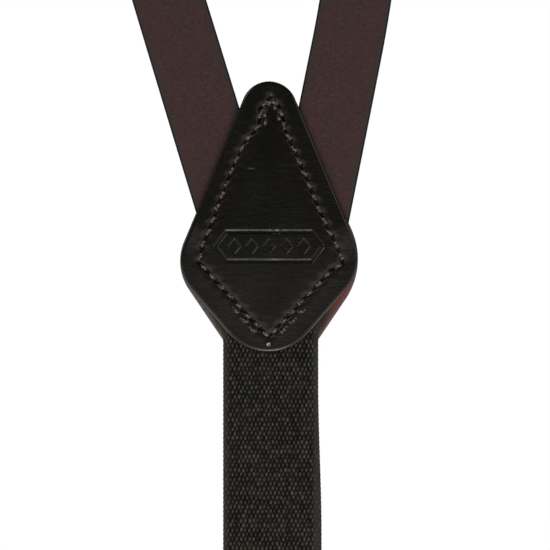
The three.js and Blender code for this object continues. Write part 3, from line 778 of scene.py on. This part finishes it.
def patch_crown(x, z, edge, near):
    """How far out the patch's face is, but for its rim and its small marks."""
    high = PATCH_OUT + PATCH_RISE * covered(x, z, PATCH_SPREAD)
    return high + 0.3 * smoothstep(1, 14, edge) - 0.32 * bell(near, 1.3)


def patch_height(x, z, edge):
    """How far out the patch's face is, with its rounded rim, seam, tooling and creases."""
    points = np.stack([x, z], axis=1)
    near, station = nearest_on(points, SEAM)
    high = patch_crown(x, z, edge, near)
    rim = np.clip(edge / 1.1, 0, 1)
    high = high - (1 - np.sqrt(1 - (1 - rim) ** 2))
    high = high + 0.07 * bell(near - 1.5, 0.9) * np.cos(2 * np.pi * station / STITCH_PITCH + np.pi)
    high = high - 0.8 * slit_depth(points)
    high = high - 0.5 * ornament_depth(points)
    for across, up, reach, depth in CREASES:
        high = high - depth * bell(z - up, 0.4) * bell(x - across, reach)
    swell = np.sin(x / 6.1 + 0.8) * np.sin(z / 8.3 + 0.4) + 0.6 * np.sin(x / 3.7 - z / 4.9)
    return high + 0.06 * swell


def add_plate(name, outline, count, rings, front, back, back_rings=14):
    """A closed leather plate in the yoke's plane; front and back give each point's distance out.

    Each face is made of rings that shrink from the outline to PATCH_CENTRE.
    """
    outline = resample(outline, count)
    shares = 1 - (1 - np.linspace(0, 1, rings + 1)[1:]) ** 1.15
    back_shares = np.linspace(1, 0, back_rings + 1)[:-1]
    levels = [(shares, front), (back_shares, back)]
    points, values, edges, seams, slits = [], [], [], [], []
    for level_shares, height in levels:
        flat = PATCH_CENTRE + level_shares[:, None, None] * (outline - PATCH_CENTRE)
        flat = flat.reshape(-1, 2)
        edge = distance_to(flat, outline)
        out = height(flat[:, 0], flat[:, 1], edge)
        seams.append(distance_to(flat, SEAM))
        slits.append(slit_depth(flat) if height is patch_height else np.zeros(len(flat)))
        points.append(np.stack([flat[:, 0], BACK_Y - out, YOKE_Z + flat[:, 1]], axis=1))
        values.append(np.stack([flat[:, 0], flat[:, 1], out], axis=1))
        edges.append(edge)
    far = np.array([20.0])  # the middle is far from the edge and from the seam
    for height in (front, back):
        x, z = PATCH_CENTRE
        out = height(np.array([x]), np.array([z]), far)[0]
        points.append(np.array([[x, BACK_Y - out, YOKE_Z + z]]))
        values.append(np.array([[x, z, out]]))
        edges.append(far)
        seams.append(far)
        slits.append(np.zeros(1))
    total = (rings + back_rings) * count
    faces = ring_faces(rings + back_rings, count, flip=True)
    faces += [(i, (i + 1) % count, total)[::-1] for i in range(count)]
    start = total - count
    faces += [(start + i, start + (i + 1) % count, total + 1) for i in range(count)]
    attributes = {
        "strip": np.vstack(values),
        "edge": np.concatenate(edges),
        "seam": np.concatenate(seams),
        "slit": np.concatenate(slits),
    }
    return add_mesh(name, np.vstack(points), faces, attributes, sharp=60)


def twisted_stitch(start, end, surface, radius=0.5, arch=0.25, sink=0.85):
    """Points (across, up, out) and faces of one two-ply stitch that dives into a hole at each end."""
    steps, sides, plies, lay = 13, 8, 2, 2.6  # `lay`: the length of one turn of the twist
    t = np.linspace(0, 1, steps)
    length = np.linalg.norm(end - start)
    along = (end - start) / length
    aside = np.array([-along[1], along[0]])
    flat = start + t[:, None] * (end - start)
    arc = np.sin(np.pi * np.clip(t, 0, 1))
    lift = surface(flat) + arch * arc - sink * (1 - smoothstep(0, 0.55, arc))
    points, faces = [], []
    spin = rng.uniform(0, 2 * np.pi)
    for ply in range(plies):
        phase = spin + 2 * np.pi * (ply / plies + t * length / lay)
        centre = flat + aside * (0.5 * radius * np.cos(phase))[:, None]
        out = lift + 0.5 * radius * np.sin(phase)
        angles = np.linspace(0, 2 * np.pi, sides, endpoint=False)
        ring = radius * 0.6
        x = centre[:, None, 0] + aside[0] * ring * np.cos(angles)
        z = centre[:, None, 1] + aside[1] * ring * np.cos(angles)
        o = out[:, None] + ring * np.sin(angles)
        base = ply * steps * sides
        points.append(np.stack([x, z, o], axis=-1).reshape(-1, 3))
        faces += [tuple(base + i for i in f) for f in ring_faces(steps, sides)]
        faces.append(tuple(base + i for i in range(sides))[::-1])
        faces.append(tuple(base + (steps - 1) * sides + i for i in range(sides)))
    return np.vstack(points), faces


def melted_end(x, z, out, radius=0.68):
    """Points (across, up, out) and faces of the lumpy bead that seals the thread's end."""
    rings, sides, flatness = 12, 20, 0.55
    points = []
    for tilt in np.linspace(0.05, math.pi - 0.05, rings):
        for turn in np.linspace(0, 2 * math.pi, sides, endpoint=False):
            lumps = 0.12 * math.sin(2 * turn + 1) * math.sin(tilt) + 0.08 * math.cos(3 * tilt)
            away = radius * (1 + lumps)
            aside, rise = away * math.sin(tilt), flatness * away * math.cos(tilt)
            points.append((x + aside * math.cos(turn), z + aside * math.sin(turn), out + rise))
    faces = ring_faces(rings, sides, flip=True)
    faces += [tuple(range(sides)), tuple(range(rings * sides - 1, (rings - 1) * sides - 1, -1))]
    return np.array(points), faces


def join_stitches(name, stitches, place):
    """One piece from several meshes; `place` moves their points (across, up, out) to the part."""
    points, faces, base = [], [], 0
    for made, made_faces in stitches:
        points.append(made)
        faces += [tuple(base + i for i in f) for f in made_faces]
        base += len(made)
    flat = np.vstack(points)
    return add_mesh(name, place(flat), faces, {"strip": flat}, sharp=80)


def yoke_place(points):
    return np.stack([points[:, 0], BACK_Y - points[:, 2], YOKE_Z + points[:, 1]], axis=1)


def add_yoke():
    patch = add_plate("patch_front_leather", PATCH, 640, 190, patch_height,
                      lambda x, z, edge: layer_gap(x, z) + 0.05)
    finish_piece(patch, PATCH_LEATHER, "root", "patch_leather", "patch_front")

    def lining_front(x, z, edge):
        frayed = 0.12 * np.sin(x * 2.3) * np.sin(z * 1.9) * (edge < 2)
        return -layer_gap(x, z) - 0.05 - 0.35 * (1 - np.clip(edge / 0.8, 0, 1)) ** 2 + frayed

    def lining_back(x, z, edge):
        near = distance_to(np.stack([x, z], axis=1), SEAM)
        rounded = 0.45 * (1 - np.clip(edge, 0, 1)) ** 2
        return -layer_gap(x, z) - 0.05 - LINING_THICKNESS + rounded + 0.25 * bell(near, 1.0)

    lining = add_plate("patch_lining_leather", LINING, 420, 50, lining_front, lining_back, back_rings=50)
    finish_piece(lining, LINING_LEATHER, "root", "lining_leather", "patch_lining")

    def surface(flat):
        return patch_crown(flat[:, 0], flat[:, 1], distance_to(flat, PATCH), distance_to(flat, SEAM))

    def inner_surface(flat):
        return layer_gap(flat[:, 0], flat[:, 1]) + LINING_THICKNESS - 0.2

    stitches = [twisted_stitch(a, b, surface, radius=0.56) for a, b in THREADS]
    for start, end in THREADS[:STITCH_COUNT]:
        made, faces = twisted_stitch(start, end, inner_surface, radius=0.42, arch=0.1)
        made[:, 2] *= -1
        stitches.append((made, [face[::-1] for face in faces]))
    thread = join_stitches("patch_stitches", stitches, yoke_place)
    finish_piece(thread, THREAD, "root", "thread", "patch_thread")
    bead_out = surface(np.array([THREAD_END]))[0] + 0.1
    bead = join_stitches("patch_thread_end", [melted_end(*THREAD_END, bead_out)], yoke_place)
    finish_piece(bead, THREAD_END_GLINT, "root", "thread", "patch_thread")


# -------------------------------------------------------------------------------------------- elastic
WEAVE_ACROSS = 1.53  # from one float to the next
WEAVE_ALONG = 1.67  # from one row to the next
YARN_RISE = 0.32


def scatter(a, b):
    """A repeatable random number from 0 to 1 for each pair of counts."""
    value = np.sin(a * 12.9898 + b * 78.233) * 43758.5453
    return value - np.floor(value)


def weave(x, z):
    """Height 0 to 1 of the brick-laid yarn floats with their pits between, and their tone."""
    row = np.round(z / WEAVE_ALONG)
    shift = np.where(row % 2 == 0, 0.0, 0.5)
    column = np.round(x / WEAVE_ACROSS - shift)
    random = scatter(column, row)
    dx = x - (column + shift) * WEAVE_ACROSS - 0.35 * (random - 0.5)
    dz = z - row * WEAVE_ALONG - 0.5 * (scatter(row, column) - 0.5)
    fat = 0.82 + 0.4 * scatter(column + 5, row - 9)
    crown = np.sqrt(np.clip(1 - (dx / (0.45 * fat)) ** 2 - (dz / (0.62 * fat)) ** 2, 0, 1))
    gap = np.round(x / WEAVE_ACROSS - shift - 0.5)
    px = x - (gap + shift + 0.5) * WEAVE_ACROSS
    pit = bell(px, 0.36) * bell(dz, 0.72) * (0.4 + 1.1 * scatter(gap + 31, row))
    return 0.36 + 0.64 * crown - 0.36 * np.clip(pit, 0, 1), 0.7 + 0.55 * random


def add_elastic():
    """The elastic, with its weave as relief on both faces; it fans out a little below the yoke."""
    step_x, step_z = 0.3, 0.32
    half = elastic_high[1] - BACK_Y
    columns = int(2 * ELASTIC_HALF / step_x) + 1
    rows = int((elastic_high[2] - elastic_low[2]) / step_z) + 1
    u = np.linspace(-1, 1, columns)
    z = np.linspace(elastic_low[2] + 0.5, elastic_high[2], rows) - YOKE_Z
    grid_u, grid_z = np.meshgrid(u, z)
    swell = smoothstep(-60, -115, grid_z) * smoothstep(-150, -125, grid_z)
    scallop = 0.05 * np.cos(2 * np.pi * grid_z / WEAVE_ALONG)
    right = ELASTIC_HALF - 0.15 + 1.2 * swell + scallop
    left = -(ELASTIC_HALF - 0.3) - scallop
    x = left + (grid_u + 1) / 2 * (right - left)
    pile, tone = weave(x, grid_z)
    selvedge = np.clip((1 - np.abs(grid_u)) / 0.05, 0, 1)
    thick = half * (0.55 + 0.45 * np.sqrt(1 - (1 - selvedge) ** 2))
    faces, points, strips, piles, tones = [], [], [], [], []
    size = rows * columns
    for sign in (1, -1):
        shifted, shifted_tone = (pile, tone) if sign > 0 else weave(x + 0.75, grid_z)
        out = sign * (thick - YARN_RISE * (1 - shifted))
        points.append(np.stack([x, BACK_Y - out, YOKE_Z + grid_z], axis=-1).reshape(-1, 3))
        strips.append(np.stack([x, grid_z, out], axis=-1).reshape(-1, 3))
        piles.append(shifted.ravel())
        tones.append(shifted_tone.ravel())
        base = 0 if sign > 0 else size
        sheet = ring_faces(rows, columns, flip=sign < 0, closed=False)
        faces += [tuple(base + i for i in f) for f in sheet]
    rim = list(range(columns))
    rim += [r * columns + columns - 1 for r in range(1, rows)]
    rim += [(rows - 1) * columns + c for c in range(columns - 2, -1, -1)]
    rim += [r * columns for r in range(rows - 2, 0, -1)]
    for a, b in zip(rim, rim[1:] + rim[:1]):
        faces.append((a, a + size, b + size, b))
    attributes = {
        "strip": np.vstack(strips),
        "pile": np.concatenate(piles),
        "tone": np.concatenate(tones),
    }
    piece = add_mesh("elastic_webbing", np.vstack(points), faces, attributes, sharp=75)
    finish_piece(piece, ELASTIC_WEAVE, None, "elastic_webbing", "elastic_strap")
    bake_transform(piece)


# ------------------------------------------------------------------------------------------- back tab
TAB_THICKNESS = 2.0


def add_back_tab():
    """A leather tab folded round the clip's bar and over both faces of the elastic's end."""
    leg = (tab_high[1] - tab_low[1]) / 2 - TAB_THICKNESS / 2
    bar_z = tab_low[2] + (tab_high[1] - tab_low[1]) / 2
    heights = np.linspace(tab_high[2], bar_z, 46)
    offset = leg - 0.75 * bell(heights - bar_z - 7.5, 2.6)  # pinched above the bar
    down = [(BACK_Y - o, z) for o, z in zip(offset, heights)]
    turn = arc_points(BACK_Y, bar_z, leg, 180, 360, 28)
    up = [(BACK_Y + o, z) for o, z in zip(offset[::-1], heights[::-1])]
    path = np.array(down[:-1] + turn + up[1:])

    def arched(places, section):
        wide = 1 - (section[:, 0] / ELASTIC_HALF) ** 2
        share = smoothstep(tab_high[2] - 12, tab_high[2], places[..., 2])
        places[..., 2] += 3 * wide[None, :] * share
        return places

    piece = ribbon("back_tab_leather", 0, path, 2 * ELASTIC_HALF, TAB_THICKNESS, columns=30, top=arched)
    layer = piece.data.attributes.new("edge", "FLOAT", "POINT")
    strip = np.zeros(len(piece.data.vertices) * 3, np.float32)
    piece.data.attributes["strip"].data.foreach_get("vector", strip)
    aside = np.abs(strip.reshape(-1, 3)[:, 0]) * ELASTIC_HALF * 2 / STRAP_WIDTH
    layer.data.foreach_set("value", (ELASTIC_HALF - aside).astype(np.float32))
    finish_piece(piece, PATCH_LEATHER, "back_end", "patch_leather", "back_tab")
    add_tab_stitches(leg + TAB_THICKNESS / 2)


def add_tab_stitches(face_out):
    """A rectangle of stitches on each face of the tab."""
    ring_low, ring_high = node_box("back_tab_thread")
    half = (ring_high[0] - ring_low[0]) / 2
    low, high = ring_low[2] - YOKE_Z, ring_high[2] - YOKE_Z
    corners = np.array([(-half, low), (half, low), (half, high), (-half, high)])
    stitches = []
    for face in (1, -1):
        for a, b in zip(corners, np.roll(corners, -1, axis=0)):
            count = round(np.linalg.norm(b - a) / 3.6)
            for i in range(count):
                start, end = a + (b - a) * (i + 0.1) / count, a + (b - a) * (i + 0.86) / count
                made, faces = twisted_stitch(
                    start, end, lambda flat: np.full(len(flat), face_out), radius=0.38, arch=0.1,
                )
                made[:, 2] *= face
                stitches.append((made, faces if face > 0 else [f[::-1] for f in faces]))
    thread = join_stitches("back_tab_stitches", stitches, yoke_place)
    finish_piece(thread, THREAD, "back_end", "thread", "back_tab_thread")


# ------------------------------------------------------------------------------------------- hardware


def dress_hardware():
    """Rounds the metal nodes' edges and gives them their finish."""
    slots = {row["node"]: row["material_slot"] for row in frame["record"]["subparts"]}
    for name, node in frame["nodes"].items():
        if slots[name] not in ("brass", "nylon"):
            continue
        # The edges between the CAD's facets are smoothed, and only its true edges are rounded.
        node.data.materials.clear()
        node.data.materials.append(BRASS if slots[name] == "brass" else NYLON)
        if "custom_normal" in node.data.attributes:
            node.data.attributes.remove(node.data.attributes["custom_normal"])
        node.data.shade_smooth()
        weld = node.modifiers.new("joined_facets", "WELD")
        weld.merge_threshold = 0.001 * MM
        bevel = node.modifiers.new("rounded_edges", "BEVEL")
        bevel.width = 0.22 * MM
        bevel.segments = 3
        bevel.limit_method = "ANGLE"
        bevel.angle_limit = math.radians(38)
        bevel.harden_normals = True


add_straps()
add_yoke()
add_elastic()
add_back_tab()
dress_hardware()

# ------------------------------------------------------------------------------------- stage and light
FLOOR_Z = -2200  # low, so that the glossy patch doesn't mirror it
FLOOR_HALF = 14000


def add_floor():
    corners = [(-1, -1), (1, -1), (1, 1), (-1, 1)]
    points = [(x * FLOOR_HALF, y * FLOOR_HALF, FLOOR_Z) for x, y in corners]
    floor = add_mesh("floor", points, [(0, 1, 2, 3)])
    shader = Shader("floor_paper")
    shader.set(Base_Color=(0.82, 0.82, 0.82, 1), Roughness=0.9)
    floor.data.materials.append(shader.material)


def add_light(name, place, size, power):
    """A soft square light at `place`, in metres, aimed at the yoke."""
    data = bpy.data.lights.new(name, "AREA")
    data.size = size
    data.energy = power
    light = bpy.data.objects.new(name, data)
    light.location = place
    target = np.array([0, BACK_Y * MM, (YOKE_Z - 20) * MM])
    away = np.array(place) - target
    flat = math.hypot(away[0], away[1])
    light.rotation_euler = (math.atan2(flat, away[2]), 0, math.atan2(away[0], -away[1]))
    bpy.context.scene.collection.objects.link(light)


def add_world():
    """White where the camera looks, softer as light, and dim in reflections."""
    world = bpy.data.worlds.new("world")
    world.use_nodes = True
    bpy.context.scene.world = world
    tree = world.node_tree
    background = tree.nodes["Background"]
    rays = tree.nodes.new("ShaderNodeLightPath")
    glossy = tree.nodes.new("ShaderNodeMix")
    glossy.inputs[2].default_value = 0.75
    glossy.inputs[3].default_value = 0.03
    tree.links.new(rays.outputs["Is Glossy Ray"], glossy.inputs[0])
    seen = tree.nodes.new("ShaderNodeMix")
    seen.inputs[3].default_value = 1.0
    tree.links.new(rays.outputs["Is Camera Ray"], seen.inputs[0])
    tree.links.new(glossy.outputs[0], seen.inputs[2])
    tree.links.new(seen.outputs[0], background.inputs["Strength"])
    background.inputs["Color"].default_value = (1, 1, 1, 1)


add_floor()
add_world()
add_light("key", (-1.7, -1.2, 1.5), 1.2, 16)
add_light("fill", (1.9, -1.1, 0.3), 1.4, 6.5)
add_light("low", (0.1, -1.0, -1.8), 0.8, 14)
add_light("back", (0.8, 1.6, 0.9), 1.4, 10)
bpy.context.scene.view_settings.view_transform = "Standard"
